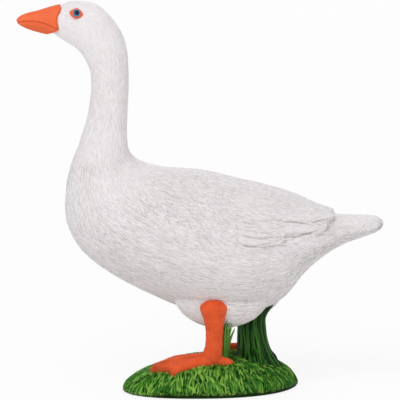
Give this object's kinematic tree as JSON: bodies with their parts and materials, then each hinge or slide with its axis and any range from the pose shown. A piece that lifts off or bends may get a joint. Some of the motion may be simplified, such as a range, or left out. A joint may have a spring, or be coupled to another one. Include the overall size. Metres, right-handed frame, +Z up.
{
  "type": "goose figurine",
  "caption": "Small moulded plastic goose standing on a low grass mound, with long raised neck, folded wings, webbed feet and a clump of grass under the tail.",
  "frame": {"origin": "middle of the flat underside of the grass mound, on the surface that the figurine stands on", "axes": "+Z up, along the figurine's height; the goose looks towards -X; its left side is towards -Y"},
  "size_m": [0.0751, 0.0304, 0.0799],
  "materials": {
    "plumage": "white matt paint over moulded plastic, with a thin warm grey wash in the recesses",
    "bill": "orange satin paint",
    "legs": "orange matt paint",
    "eyes": "blue and near-black gloss paint",
    "grass": "green matt paint, dark in the grooves and yellower on the blades"
  },
  "bodies": {
    "root": {"goose_figurine": "plumage"}
  },
  "joints": []
}
